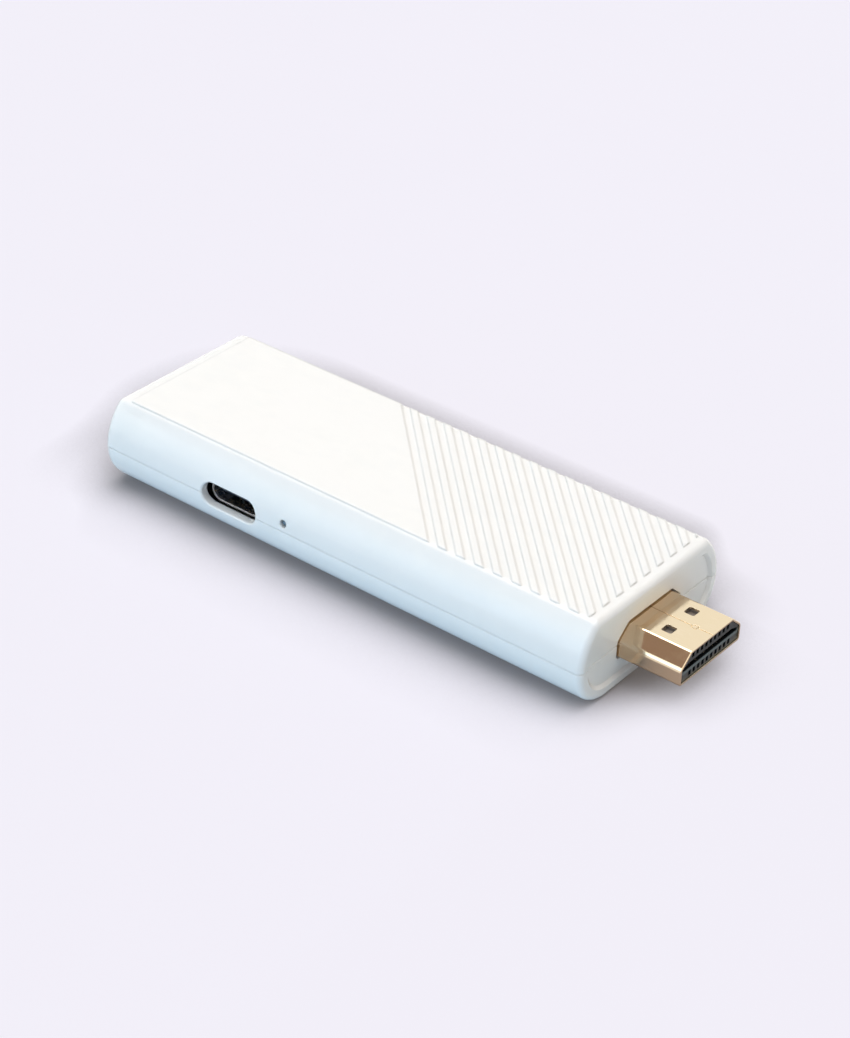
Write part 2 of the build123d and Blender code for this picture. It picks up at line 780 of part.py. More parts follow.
# Circuit board, cut out round the port, with holes for screws, posts and soldered legs
port_cutout_rear_y = port_rear_y + board_relief
port_cutout_width = port_width + 2 * board_relief
board_length = board_near_x - board_far_x
with BuildPart() as main_board:
    with BuildSketch(Plane.XY.offset(board_bottom)):
        with Locations(((board_far_x + board_near_x) / 2, 0)):
            RectangleRounded(board_length, 2 * board_half_width, board_corner)
        with Locations((port_x, port_cutout_rear_y)):
            Rectangle(
                port_cutout_width,
                port_depth,
                align=(Align.CENTER, Align.MAX),
                mode=Mode.SUBTRACT,
            )
        with Locations(screw_places):
            Circle(screw_diameter / 2 + screw_clearance, mode=Mode.SUBTRACT)
        with Locations(post_places):
            Circle(pin_diameter / 2 + screw_clearance, mode=Mode.SUBTRACT)
        with Locations(collar_pin_places):
            Rectangle(2 * collar_sheet + leg_gap, collar_sheet + leg_gap, mode=Mode.SUBTRACT)
        with Locations(ear_places):
            Rectangle(ear_sheet + leg_gap, ear_width + leg_gap, mode=Mode.SUBTRACT)
    extrude(amount=board_thickness)
main_board.part.label = "main_board"
export_step(main_board.part, "parts/main_board.step")


def chip_group(places, length, width, height, level=board_top):
    """Flat packages on the board, each with softened edges and a first-pin mark in one corner."""
    side = 1 if level == board_top else -1
    with BuildPart() as group:
        with BuildSketch(Plane.XY.offset(level)):
            with Locations(places):
                Rectangle(length, width)
        extrude(amount=side * height)
        chamfer(edges().group_by(Axis.Z)[-1 if side > 0 else 0], length=chip_edge)
        with BuildSketch(Plane.XY.offset(level + side * height)):
            corner_x = chip_mark_inset - length / 2
            corner_y = chip_mark_inset - width / 2
            with Locations([(x + corner_x, y + corner_y) for x, y in places]):
                Rectangle(chip_mark, chip_mark)
        extrude(amount=-side * chip_edge, mode=Mode.SUBTRACT)
    return group.part


def end_capped_group(places, length, width, height, level=board_top):
    """Small two-ended parts on the board, each a block with a raised cap at either end."""
    cap = length / 4
    side = 1 if level == board_top else -1
    with BuildPart() as group:
        with BuildSketch(Plane.XY.offset(level)):
            with Locations(places):
                Rectangle(length, width - 2 * fit_gap)
        extrude(amount=side * (height - fit_gap))
        with BuildSketch(Plane.XY.offset(level)):
            with Locations(places):
                with GridLocations(length - cap, 0, 2, 1):
                    Rectangle(cap, width)
        extrude(amount=side * height)
    return group.part


# Packages of the main circuit
processor = chip_group([(processor_x, 0)], processor_size, processor_size, processor_height)
processor.label = "processor"
export_step(processor, "parts/processor.step")

memory_places = [(memory_x, -memory_spacing / 2), (memory_x, memory_spacing / 2)]
memory_chips = chip_group(memory_places, memory_length, memory_width, memory_height)
memory_chips.label = "memory_chips"
export_step(memory_chips, "parts/memory_chips.step")

storage_chip = chip_group(
    [(processor_x, 0)], storage_length, storage_width, storage_height, level=board_bottom
)
storage_chip.label = "storage_chip"
export_step(storage_chip, "parts/storage_chip.step")

power_chip_x = spreader_far_x - spreader_foot - power_chip_gap - power_chip_size / 2
power_chip = chip_group(
    [(power_chip_x, -power_chip_offset)], power_chip_size, power_chip_size, power_chip_height
)
power_chip.label = "power_chip"
export_step(power_chip, "parts/power_chip.step")

protector_x = rim_x - plug_depth - contact_tail - collar_foot - protector_length / 2
protector_places = [
    (protector_x, (i - (protector_count - 1) / 2) * protector_spacing) for i in range(protector_count)
]
line_protectors = chip_group(
    protector_places, protector_length, protector_width, protector_height, level=board_bottom
)
line_protectors.label = "line_protectors"
export_step(line_protectors, "parts/line_protectors.step")

# Power inductors: square bodies with cut corners and a raised square core
inductor_y = board_half_width - inductor_edge_gap - inductor_size / 2
inductor_places = [(power_chip_x, inductor_y - i * inductor_spacing) for i in range(inductor_count)]
with BuildPart() as power_inductors:
    with BuildSketch(Plane.XY.offset(board_top)):
        with Locations(inductor_places):
            Rectangle(inductor_size, inductor_size)
    extrude(amount=inductor_height - chip_edge)
    chamfer(edges().filter_by(Axis.Z), length=inductor_corner)
    with BuildSketch(Plane.XY.offset(board_top + inductor_height - chip_edge)):
        with Locations(inductor_places):
            Rectangle(inductor_core, inductor_core)
    extrude(amount=chip_edge)
power_inductors.part.label = "power_inductors"
export_step(power_inductors.part, "parts/power_inductors.step")

bulk_x = port_x - port_width / 2 - ear_reach - bulk_port_gap - bulk_length / 2
bulk_y = bulk_width / 2 + bulk_edge_gap - board_half_width
bulk_places = [(bulk_x, bulk_y), (bulk_x, bulk_y + bulk_spacing)]
bulk_capacitors = end_capped_group(bulk_places, bulk_length, bulk_width, bulk_height)
bulk_capacitors.label = "bulk_capacitors"
export_step(bulk_capacitors, "parts/bulk_capacitors.step")

small_places = [
    (processor_x + (i - (small_count - 1) / 2) * small_spacing, side * (storage_width / 2 + small_spacing))
    for i in range(small_count)
    for side in (-1, 1)
]
small_capacitors = end_capped_group(
    small_places, small_length, small_width, small_height, level=board_bottom
)
small_capacitors.label = "small_capacitors"
export_step(small_capacitors, "parts/small_capacitors.step")

# Clock crystal under the board: a ceramic base with a smaller metal lid
crystal_place = (processor_x - (storage_length + crystal_length) / 2 - crystal_gap, 0)
crystal_base = crystal_height - chip_edge
with BuildPart() as clock_crystal:
    with BuildSketch(Plane.XY.offset(board_bottom)):
        with Locations(crystal_place):
            Rectangle(crystal_length, crystal_width)
    extrude(amount=-crystal_base)
    with BuildSketch(Plane.XY.offset(board_bottom - crystal_base)):
        with Locations(crystal_place):
            Rectangle(crystal_length - chip_mark, crystal_width - chip_mark)
    extrude(amount=-chip_edge)
clock_crystal.part.label = "clock_crystal"
export_step(clock_crystal.part, "parts/clock_crystal.step")

# Wireless module: its own small board with notched edge contacts
module_x = far_x + module_from_far_end
module_y = board_half_width - module_size / 2 - module_edge_gap
edge_pad_pitch = module_size / (edge_pad_count + 1)
with BuildPart() as wireless_module:
    with BuildSketch(Plane.XY.offset(board_top)):
        with Locations((module_x, module_y)):
            Rectangle(module_size, module_size)
            with GridLocations(module_size, edge_pad_pitch, 2, edge_pad_count):
                Rectangle(edge_pad_size, edge_pad_size, mode=Mode.SUBTRACT)
            with GridLocations(edge_pad_pitch, module_size, edge_pad_count, 2):
                Rectangle(edge_pad_size, edge_pad_size, mode=Mode.SUBTRACT)
    extrude(amount=module_board)
wireless_module.part.label = "wireless_module"
export_step(wireless_module.part, "parts/wireless_module.step")

# Shield of the module: a drawn can, open below, with square vent holes
shield_bottom = board_top + module_board
with BuildPart() as wireless_shield:
    with BuildSketch(Plane.XY.offset(shield_bottom)):
        with Locations((module_x, module_y)):
            Rectangle(shield_size, shield_size)
    extrude(amount=shield_height)
    chamfer(edges().group_by(Axis.Z)[-1], length=2 * shield_sheet)
    offset(amount=-shield_sheet, openings=faces().sort_by(Axis.Z)[0])
    with BuildSketch(Plane.XY.offset(shield_bottom + shield_height)):
        with Locations((module_x, module_y)):
            with GridLocations(vent_pitch, vent_pitch, vent_rows, vent_rows):
                Rectangle(vent_size, vent_size)
    extrude(amount=-2 * shield_sheet, mode=Mode.SUBTRACT)
wireless_shield.part.label = "wireless_shield"
export_step(wireless_shield.part, "parts/wireless_shield.step")

# Antenna: a ceramic block across the far end of the board
antenna_x = board_far_x + antenna_edge_gap + antenna_width / 2
with BuildPart() as wifi_antenna:
    with Locations(Location((antenna_x, 0, 0), (0, 0, 90))):
        add(end_capped_group([(0, 0)], antenna_length, antenna_width, antenna_height))
wifi_antenna.part.label = "wifi_antenna"
export_step(wifi_antenna.part, "parts/wifi_antenna.step")

# Soft pads that fill the space between the chips and the heat spreader
with BuildPart() as thermal_pads:
    with BuildSketch(Plane.XY.offset(processor_top)):
        with Locations((processor_x, 0)):
            Rectangle(processor_size - 2 * chip_edge, processor_size - 2 * chip_edge)
    extrude(amount=pad_thickness)
    with BuildSketch(Plane.XY.offset(board_top + memory_height)):
        with Locations(memory_places):
            Rectangle(memory_length - 2 * chip_edge, memory_width - 2 * chip_edge)
    extrude(amount=spreader_bottom - board_top - memory_height)
thermal_pads.part.label = "thermal_pads"
export_step(thermal_pads.part, "parts/thermal_pads.step")

# Heat spreader: a folded plate over the chips, with a foot at each end under a screw
spreader_middle = spreader_bottom + spreader_sheet / 2
foot_middle = board_top + spreader_sheet / 2
with BuildPart() as heat_spreader:
    with BuildSketch(Plane.XZ) as spreader_profile:
        with BuildLine() as spreader_line:
            FilletPolyline(
                (spreader_far_x - spreader_foot, foot_middle),
                (spreader_far_x + spreader_sheet / 2, foot_middle),
                (spreader_far_x + spreader_sheet / 2, spreader_middle),
                (spreader_near_x - spreader_sheet / 2, spreader_middle),
                (spreader_near_x - spreader_sheet / 2, foot_middle),
                (spreader_near_x + spreader_foot, foot_middle),
                radius=spreader_bend,
            )
        trace(line_width=spreader_sheet)
    extrude(amount=spreader_width / 2, both=True)
    with BuildSketch(Plane.XY.offset(board_top)):
        with Locations((spreader_far_x, screw_y - spreader_foot_width / 2)):
            Rectangle(2 * spreader_foot + cut, spreader_width, align=(Align.MAX, Align.MAX))
        with Locations((spreader_near_x, -screw_y + spreader_foot_width / 2)):
            Rectangle(2 * spreader_foot + cut, spreader_width, align=(Align.MIN, Align.MIN))
        with Locations(screw_places):
            Circle(screw_diameter / 2 + screw_clearance)
    extrude(amount=spreader_sheet, mode=Mode.SUBTRACT)
heat_spreader.part.label = "heat_spreader"
export_step(heat_spreader.part, "parts/heat_spreader.step")

# Screws through the spreader's feet and the board into the bosses
head_level = board_top + spreader_sheet
with BuildPart() as board_screws:
    with BuildSketch(Plane.XY.offset(head_level)):
        with Locations(screw_places):
            Circle(screw_head / 2)
    extrude(amount=screw_head_height)
    with BuildSketch(Plane.XY.offset(head_level)):
        with Locations(screw_places):
            Circle(screw_diameter / 2)
    extrude(amount=-screw_length)
    with BuildSketch(Plane.XY.offset(head_level + screw_head_height)):
        with Locations(screw_places):
            Rectangle(screw_cross, screw_recess)
            Rectangle(screw_recess, screw_cross)
    extrude(amount=-screw_recess, mode=Mode.SUBTRACT)
board_screws.part.label = "board_screws"
export_step(board_screws.part, "parts/board_screws.step")
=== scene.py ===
import math

import bpy
from bpy.props import FloatProperty, FloatVectorProperty, PointerProperty
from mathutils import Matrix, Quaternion, Vector


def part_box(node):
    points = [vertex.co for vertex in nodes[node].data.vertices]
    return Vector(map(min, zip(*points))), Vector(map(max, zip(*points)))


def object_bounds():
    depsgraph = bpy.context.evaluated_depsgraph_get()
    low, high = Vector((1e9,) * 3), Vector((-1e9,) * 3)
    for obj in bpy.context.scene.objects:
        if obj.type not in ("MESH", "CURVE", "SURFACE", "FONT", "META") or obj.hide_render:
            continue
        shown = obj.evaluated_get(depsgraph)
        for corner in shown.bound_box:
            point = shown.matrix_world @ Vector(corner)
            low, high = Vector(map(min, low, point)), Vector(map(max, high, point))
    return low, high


bl_info = {
    "name": "Streaming Stick Finishes",
    "version": (1, 0, 0),
    "blender": (4, 5, 0),
    "location": "3D View > Sidebar > Streaming Stick",
    "description": "Finishes, lamps and camera for a white streaming stick with a gold video plug",
    "category": "Object",
}

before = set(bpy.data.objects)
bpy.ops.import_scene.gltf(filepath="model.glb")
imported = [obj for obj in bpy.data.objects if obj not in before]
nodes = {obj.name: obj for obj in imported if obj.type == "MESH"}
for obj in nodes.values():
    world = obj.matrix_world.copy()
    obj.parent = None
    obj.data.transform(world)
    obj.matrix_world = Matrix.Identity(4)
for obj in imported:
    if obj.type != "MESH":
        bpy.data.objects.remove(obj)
cad_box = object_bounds()

MM = 0.001
MICRON = 0.001 * MM


# Sizes and colours that a user would change

def colour(name, description, value):
    """A colour property."""
    return FloatVectorProperty(
        name=name, description=description, default=value, size=3, min=0.0, max=1.0, subtype="COLOR"
    )


def share(name, description, value):
    """A property from 0 to 1."""
    return FloatProperty(
        name=name, description=description, default=value, min=0.0, max=1.0, subtype="FACTOR"
    )


def length(name, description, value):
    """A length property, in metres."""
    return FloatProperty(
        name=name, description=description, default=value, unit="LENGTH", precision=5
    )


def turn(name, description, degrees):
    """An angle property."""
    return FloatProperty(
        name=name, description=description, default=math.radians(degrees), subtype="ANGLE"
    )


def number(name, description, value, least=0.0):
    """A plain number property, such as a lamp's strength."""
    return FloatProperty(name=name, description=description, default=value, min=least)


class HousingLook(bpy.types.PropertyGroup):
    white: colour("White", "Colour of the moulded housing", (0.93, 0.93, 0.92))
    shade: colour("Shade", "Deeper white that drifts through the plastic", (0.9, 0.905, 0.905))
    gloss: share("Roughness", "Roughness of the polished skin", 0.22)
    grain_size: length("Grain", "Distance between the bumps of the polished skin", 0.9 * MM)
    edge: length("Edge", "Softness of the moulded edges", 0.04 * MM)
    panel_edge: length("Panel edge", "Softness of the ribs' edges", 0.5 * MM)
    # mirrored is painted shade in reflections: the plug's metal shows the housing in this darker
    # colour
    mirrored: colour("Mirrored", "The housing as metal beside it shows it", (0.67, 0.585, 0.55))
    translucence: length("Translucence", "How far light spreads in the plastic", 0.5 * MM)


class PlugLook(bpy.types.PropertyGroup):
    gold: colour("Gold", "Plating of the plug's shell", (0.79, 0.66, 0.46))
    worn_gold: colour("Worn gold", "Paler plating where the plug rubs", (0.85, 0.76, 0.62))
    contact_gold: colour("Contact gold", "Plating of the contacts", (0.86, 0.60, 0.24))
    insulator: colour("Insulator", "Moulding inside the plug", (0.055, 0.065, 0.068))
    # lip is a painted highlight: a paler band on the lower lip of the face, where it would catch
    # the light
    lip: colour("Lip", "Lower lip of the moulding's face", (0.13, 0.165, 0.17))
    # cavity_shade is painted shade: the moulding takes it just behind its face, where the slot and
    # notches lie in shadow
    cavity_shade: colour("Cavity", "Moulding behind its face", (0.003, 0.004, 0.005))
    # Painted light: the moulding's top under the latch windows is paler than the moulding, as
    # though lit
    lit_insulator_top: colour("Top", "Moulding seen through the latch windows", (0.22, 0.19, 0.17))
    scratch_spacing: length("Scratches", "Distance between the shell's drawn lines", 0.08 * MM)


class PortLook(bpy.types.PropertyGroup):
    steel: colour("Steel", "Shell of the power port", (0.70, 0.71, 0.73))
    worn_steel: colour("Worn steel", "Paler steel where the port rubs", (0.85, 0.85, 0.85))
    tongue: colour("Tongue", "Moulding inside the port", (0.02, 0.035, 0.06))
    button: colour("Button", "Nose of the reset button", (0.14, 0.24, 0.32))
    switch: colour("Switch", "Body of the reset switch", (0.03, 0.03, 0.032))
    switch_shade: colour("Switch shade", "Deeper black of that body", (0.02, 0.02, 0.02))
    spring: colour("Spring steel", "Cover and leaf of the switch", (0.6, 0.6, 0.59))
    worn_spring: colour("Worn spring", "Paler steel along their edges", (0.8, 0.8, 0.8))


class BoardLook(bpy.types.PropertyGroup):
    mask: colour("Solder mask", "Lacquer over the board", (0.012, 0.09, 0.045))
    trace: colour("Tracks", "Copper tracks seen through the lacquer", (0.03, 0.16, 0.075))
    chip: colour("Package", "Moulding of the chips", (0.025, 0.026, 0.028))
    ceramic: colour("Ceramic", "Body of the capacitors", (0.42, 0.30, 0.19))
    antenna: colour("Antenna", "Body of the antenna", (0.8, 0.8, 0.78))
    ferrite: colour("Ferrite", "Body of the inductors", (0.09, 0.09, 0.095))
    ferrite_shade: colour("Ferrite shade", "Deeper grey of that body", (0.06, 0.06, 0.062))
    tin: colour("Tin", "Plated ends and screens", (0.72, 0.72, 0.70))
    worn_tin: colour("Worn tin", "Paler tin along the edges", (0.85, 0.85, 0.84))
    track_spacing: length("Track spacing", "Distance between tracks", 0.9 * MM)


class CoolingLook(bpy.types.PropertyGroup):
    aluminium: colour("Aluminium", "Heat spreader", (0.78, 0.79, 0.80))
    worn_aluminium: colour("Worn aluminium", "Paler along its edges", (0.9, 0.9, 0.9))
    pad: colour("Pad", "Soft pads on the chips", (0.30, 0.50, 0.62))
    screw: colour("Screw", "Screws of the board", (0.50, 0.50, 0.49))
    worn_screw: colour("Worn screw", "Paler steel along their edges", (0.7, 0.7, 0.7))


class StageLook(bpy.types.PropertyGroup):
    floor: colour("Floor", "Paper under the stick", (0.826, 0.818, 0.922))
    backdrop: colour("Backdrop", "Colour behind the stick, far away", (0.888, 0.863, 0.939))
    # The shade round the stick is painted: the camera sees the floor glow, darkened by ambient
    # occlusion
    shadow: colour("Shadow", "Floor where the stick hides the light", (0.10, 0.085, 0.07))
    halo: share("Halo", "Share of the soft shade round the stick", 0.7)
    plug_halo: share("Plug halo", "Share of the soft shade beside the plug", 0.9)
    halo_reach: length("Halo reach", "Width of that shade in front and at the ends", 14 * MM)
    halo_behind: length("Halo behind", "Width of that shade behind the stick", 19.5 * MM)
    bounce: colour("Bounce", "The floor's light on the stick's sides", (0.573, 0.722, 0.827))
    # Painted shade in reflections: metal sees the floor by the stick in the near colour, fading to
    # the brighter far colour further out
    mirrored_floor_shade: colour("Near floor", "Floor by the stick, as metal shows it", (0.40, 0.34, 0.357))
    mirror_far: colour("Far floor", "Floor further out, as metal shows it", (0.95, 0.92, 0.95))
    key: number("Key", "Strength of the white light overhead", 0.728)
    key_tint: colour("Key tint", "Colour of that light", (1.0, 0.973, 0.939))
    key_spread: turn("Key spread", "Width of the white light, as an angle", 60.0)
    front: number("Front", "Strength of the light in front", 0.228)
    front_tint: colour("Front tint", "Colour of that light", (0.83, 1.0, 0.97))
    cool: number("Cool", "Strength of the low blue light", 0.214)
    cool_tint: colour("Cool tint", "Colour of that light", (0.0, 0.38, 1.0))
    warm: number("Warm", "Strength of the warm light on the plug's end", 0.055)
    warm_tint: colour("Warm tint", "Colour of that light", (1.0, 0.5, 0.0))
    side_spread: turn("Side spread", "Width of those three lights, as an angle", 60.0)
    # Painted reflection: the card glows in this colour and only mirrors see it
    card: colour("Card", "Dark card that the plug's metal mirrors", (0.34, 0.24, 0.20))
    sky: number("Sky", "Strength of the light from all round", 0.27)
    sky_tint: colour("Sky tint", "Colour of that light", (1.0, 0.95, 0.89))
    mirror_sky: number("Mirrored sky", "How bright the sky looks in metal", 1.1)
    mirror_tint: colour("Mirrored tint", "Colour of the sky in metal", (1.0, 1.0, 0.99))
    azimuth: turn("Azimuth", "Camera's place round the stick", 37.568)
    elevation: turn("Elevation", "Camera's height above the floor, as an angle", 33.094)
    roll: turn("Roll", "Camera's turn about its own axis", 2.247)
    distance: length("Distance", "From the camera to the point it aims at", 377.895 * MM)
    lens: number("Lens", "Focal length in millimetres", 88.797, least=1.0)


# Nodes that every material tree is made of

def feed(tree, source, socket):
    """Link a socket to another, or set its value."""
    if isinstance(source, bpy.types.NodeSocket):
        tree.links.new(source, socket)
    else:
        socket.default_value = source


def place_at(tree, scale=None):
    """Place on the part, from its own coordinates, optionally stretched."""
    coordinates = tree.nodes.new("ShaderNodeTexCoord")
    if scale is None:
        return coordinates.outputs["Object"]
    mapping = tree.nodes.new("ShaderNodeMapping")
    mapping.inputs["Scale"].default_value = scale
    tree.links.new(coordinates.outputs["Object"], mapping.inputs["Vector"])
    return mapping.outputs["Vector"]


def axes(tree):
    """The X, Y and Z of a place on the part, each as a socket."""
    split = tree.nodes.new("ShaderNodeSeparateXYZ")
    tree.links.new(place_at(tree), split.inputs["Vector"])
    return split.outputs


def noise(tree, place, scale, detail=2.0, roughness=0.5):
    """A noise texture at a place; its scale is a number or a socket."""
    texture = tree.nodes.new("ShaderNodeTexNoise")
    texture.inputs["Detail"].default_value = detail
    texture.inputs["Roughness"].default_value = roughness
    tree.links.new(place, texture.inputs["Vector"])
    feed(tree, scale, texture.inputs["Scale"])
    return texture.outputs["Fac"]


def maths(tree, operation, first, second=0.0):
    """One step of arithmetic."""
    node = tree.nodes.new("ShaderNodeMath")
    node.operation = operation
    feed(tree, first, node.inputs[0])
    feed(tree, second, node.inputs[1])
    return node.outputs["Value"]


def times(tree, first, second):
    """One value times another."""
    return maths(tree, "MULTIPLY", first, second)


def between(tree, value, low, high, to_low=0.0, to_high=1.0):
    """Map a value from one range to another, with soft ends."""
    node = tree.nodes.new("ShaderNodeMapRange")
    node.interpolation_type = "SMOOTHSTEP"
    feed(tree, value, node.inputs["Value"])
    feed(tree, low, node.inputs["From Min"])
    feed(tree, high, node.inputs["From Max"])
    feed(tree, to_low, node.inputs["To Min"])
    feed(tree, to_high, node.inputs["To Max"])
    return node.outputs["Result"]


def blend_colours(tree, amount, first, second):
    """Mix two colours by a mask; each is a socket or three numbers."""
    node = tree.nodes.new("ShaderNodeMix")
    node.data_type = "RGBA"
    feed(tree, amount, node.inputs["Factor"])
    for source, side in ((first, "A"), (second, "B")):
        linked = isinstance(source, bpy.types.NodeSocket)
        feed(tree, source if linked else (*source, 1.0), node.inputs[side])
    return node.outputs["Result"]


def darker(base, amount):
    """The same colour with each channel times an amount."""
    return tuple(channel * amount for channel in base)


# Shader node groups that several finishes share

def new_group(name, inputs, outputs):
    """A shader node group with its sockets, and its input and output nodes."""
    group = bpy.data.node_groups.new(name, "ShaderNodeTree")
    for label, value in inputs:
        socket = group.interface.new_socket(
            name=label, in_out="INPUT", socket_type="NodeSocketFloat"
        )
        socket.default_value = value
    for label, kind in outputs:
        group.interface.new_socket(name=label, in_out="OUTPUT", socket_type=kind)
    return group, group.nodes.new("NodeGroupInput"), group.nodes.new("NodeGroupOutput")


def build_grain():
    """Fine bumps of a polished or blasted skin."""
    group, given, out = new_group(
        "Skin Grain", [("Size", 1 * MM)], [("Height", "NodeSocketFloat")]
    )
    scale = maths(group, "DIVIDE", 1.0, given.outputs["Size"])
    height = noise(group, place_at(group), scale, detail=3.0, roughness=0.6)
    group.links.new(height, out.inputs["Height"])


def build_handling():
    """Faint smears left by fingers: a mask and a roughness that drift over the surface."""
    group, given, out = new_group(
        "Handling",
        [("Clean", 0.2), ("Smeared", 0.3), ("Size", 20 * MM)],
        [("Roughness", "NodeSocketFloat"), ("Mask", "NodeSocketFloat")],
    )
    broad_share, streak_share = 0.75, 0.25
    streak_stretch = (1.0, 2.2, 1.0)
    smear_start, smear_full = 0.42, 0.62
    scale = maths(group, "DIVIDE", 1.0, given.outputs["Size"])
    streak_scale = times(group, scale, 6.0)
    broad = noise(group, place_at(group), scale, detail=4.0, roughness=0.62)
    streaks = noise(group, place_at(group, streak_stretch), streak_scale, detail=2.0)
    both = maths(
        group, "ADD", times(group, broad, broad_share), times(group, streaks, streak_share)
    )
    mask = between(group, both, smear_start, smear_full)
    roughness = between(group, mask, 0.0, 1.0, given.outputs["Clean"], given.outputs["Smeared"])
    group.links.new(mask, out.inputs["Mask"])
    group.links.new(roughness, out.inputs["Roughness"])


def build_drawn_lines():
    """Fine lines along the stick's length, as on drawn or brushed sheet."""
    group, given, out = new_group(
        "Drawn Lines",
        [("Spacing", 0.1 * MM)],
        [("Height", "NodeSocketFloat"), ("Mask", "NodeSocketFloat")],
    )
    line_stretch = (0.04, 1.0, 1.0)
    break_stretch = (0.3, 1.0, 1.0)
    line_start, line_full = 0.5, 0.8
    break_start, break_full = 0.4, 0.65
    scale = maths(group, "DIVIDE", 1.0, given.outputs["Spacing"])
    break_scale = times(group, scale, 0.12)
    lines = noise(group, place_at(group, line_stretch), scale, detail=2.0)
    breaks = noise(group, place_at(group, break_stretch), break_scale, detail=3.0)
    deep_lines = between(group, lines, line_start, line_full)
    kept_parts = between(group, breaks, break_start, break_full)
    group.links.new(lines, out.inputs["Height"])
    group.links.new(times(group, deep_lines, kept_parts), out.inputs["Mask"])


def build_rounded_edges():
    """Softened edges: a normal that rolls over them, and a mask that is 1 along them."""
    group, given, out = new_group(
        "Rounded Edges",
        [("Radius", 0.1 * MM)],
        [("Normal", "NodeSocketVector"), ("Mask", "NodeSocketFloat")],
    )
    flat, rolled = 0.98, 0.75
    bevel = group.nodes.new("ShaderNodeBevel")
    bevel.samples = 4
    geometry = group.nodes.new("ShaderNodeNewGeometry")
    group.links.new(given.outputs["Radius"], bevel.inputs["Radius"])
    facing = group.nodes.new("ShaderNodeVectorMath")
    facing.operation = "DOT_PRODUCT"
    group.links.new(bevel.outputs["Normal"], facing.inputs[0])
    group.links.new(geometry.outputs["True Normal"], facing.inputs[1])
    group.links.new(bevel.outputs["Normal"], out.inputs["Normal"])
    group.links.new(between(group, facing.outputs["Value"], flat, rolled), out.inputs["Mask"])


def build_circuit_tracks():
    """Tracks and pads under the board's lacquer, laid out on a square pitch."""
    group, given, out = new_group(
        "Circuit Tracks", [("Spacing", 1 * MM)], [("Mask", "NodeSocketFloat")]
    )
    tracks_between_bends = 7.0
    gap_edge, track_edge = 0.22, 0.16
    scale = maths(group, "DIVIDE", 1.0, given.outputs["Spacing"])
    bends = group.nodes.new("ShaderNodeTexVoronoi")
    bends.distance = "CHEBYCHEV"
    bends.feature = "F1"
    bends.inputs["Randomness"].default_value = 0.6
    group.links.new(place_at(group), bends.inputs["Vector"])
    group.links.new(times(group, scale, 0.35), bends.inputs["Scale"])
    ladder = maths(group, "FRACT", times(group, bends.outputs["Distance"], tracks_between_bends))
    from_middle = maths(group, "ABSOLUTE", maths(group, "SUBTRACT", ladder, 0.5))
    track = between(group, from_middle, gap_edge, track_edge)
    group.links.new(track, out.inputs["Mask"])


def build_end_caps():
    """Mask of the plated ends of two-ended parts that repeat along one axis."""
    group, given, out = new_group(
        "Plated Ends",
        [("Along", 0.0), ("First", 0.0), ("Pitch", 10 * MM), ("Half Body", 1 * MM)],
        [("Mask", "NodeSocketFloat")],
    )
    shifted = maths(group, "SUBTRACT", given.outputs["Along"], given.outputs["First"])
    turns = maths(group, "ADD", maths(group, "DIVIDE", shifted, given.outputs["Pitch"]), 0.5)
    centred = maths(group, "SUBTRACT", maths(group, "FRACT", turns), 0.5)
    reach = times(group, maths(group, "ABSOLUTE", centred), given.outputs["Pitch"])
    mask = maths(group, "GREATER_THAN", reach, given.outputs["Half Body"])
    group.links.new(mask, out.inputs["Mask"])


# Building blocks of a material

PLASTIC_SMEARS = 22 * MM
METAL_SMEARS = 6 * MM
PLASTIC_IOR = 1.49
LINE_WEAR = 0.5


class Finish:
    """A material in the making: its tree, its shader and the shared effects placed in it."""

    def __init__(self, name):
        self.material = bpy.data.materials.new(name)
        self.material.use_nodes = True
        self.tree = self.material.node_tree
        self.tree.nodes.clear()
        self.output = self.tree.nodes.new("ShaderNodeOutputMaterial")
        self.shader = self.tree.nodes.new("ShaderNodeBsdfPrincipled")
        self.tree.links.new(self.shader.outputs["BSDF"], self.output.inputs["Surface"])
        self.skin = None
        self.edge_radius = None

    def effect(self, group_name, **values):
        """Place a shared group and set or link its inputs."""
        node = self.tree.nodes.new("ShaderNodeGroup")
        node.node_tree = bpy.data.node_groups[group_name]
        for label, value in values.items():
            feed(self.tree, value, node.inputs[label.replace("_", " ")])
        return node.outputs

    def rounded_edges(self, radius):
        """Place the softened edges, and keep their radius socket for a later link."""
        edges = self.effect("Rounded Edges", Radius=radius)
        self.edge_radius = edges["Normal"].node.inputs["Radius"]
        return edges

    def set(self, **values):
        """Set or link inputs of the shader, by name; a colour is a socket or three numbers."""
        for label, value in values.items():
            socket = self.shader.inputs[label.replace("_", " ")]
            linked = isinstance(value, bpy.types.NodeSocket)
            if socket.type == "RGBA" and not linked:
                value = (*value, 1.0)
            feed(self.tree, value, socket)

    def bump(self, height, depth, normal=None):
        """Raise the surface by a height, depth in metres, over a normal if one is given."""
        node = self.tree.nodes.new("ShaderNodeBump")
        node.inputs["Strength"].default_value = 1.0
        node.inputs["Distance"].default_value = depth
        self.tree.links.new(height, node.inputs["Height"])
        if normal is not None:
            self.tree.links.new(normal, node.inputs["Normal"])
        self.tree.links.new(node.outputs["Normal"], self.shader.inputs["Normal"])

    def paint(self, *names):
        """Give CAD nodes this finish in each of their slots."""
        for name in names:
            for slot in nodes[name].material_slots:
                slot.material = self.material


def moulded(name, colours, roughness, grain, depth, edge):
    """A moulded plastic: a colour that drifts to a second one, grain and softened edges.

    The roughness is given for clean and for smeared skin.
    """
    finish = Finish(name)
    skin = finish.effect("Skin Grain", Size=grain)
    clean, smeared = roughness
    marks = finish.effect("Handling", Clean=clean, Smeared=smeared, Size=PLASTIC_SMEARS)
    finish.skin = blend_colours(finish.tree, marks["Mask"], *colours)
    finish.set(Base_Color=finish.skin, Roughness=marks["Roughness"], IOR=PLASTIC_IOR)
    finish.bump(skin["Height"], depth, finish.rounded_edges(edge)["Normal"])
    return finish


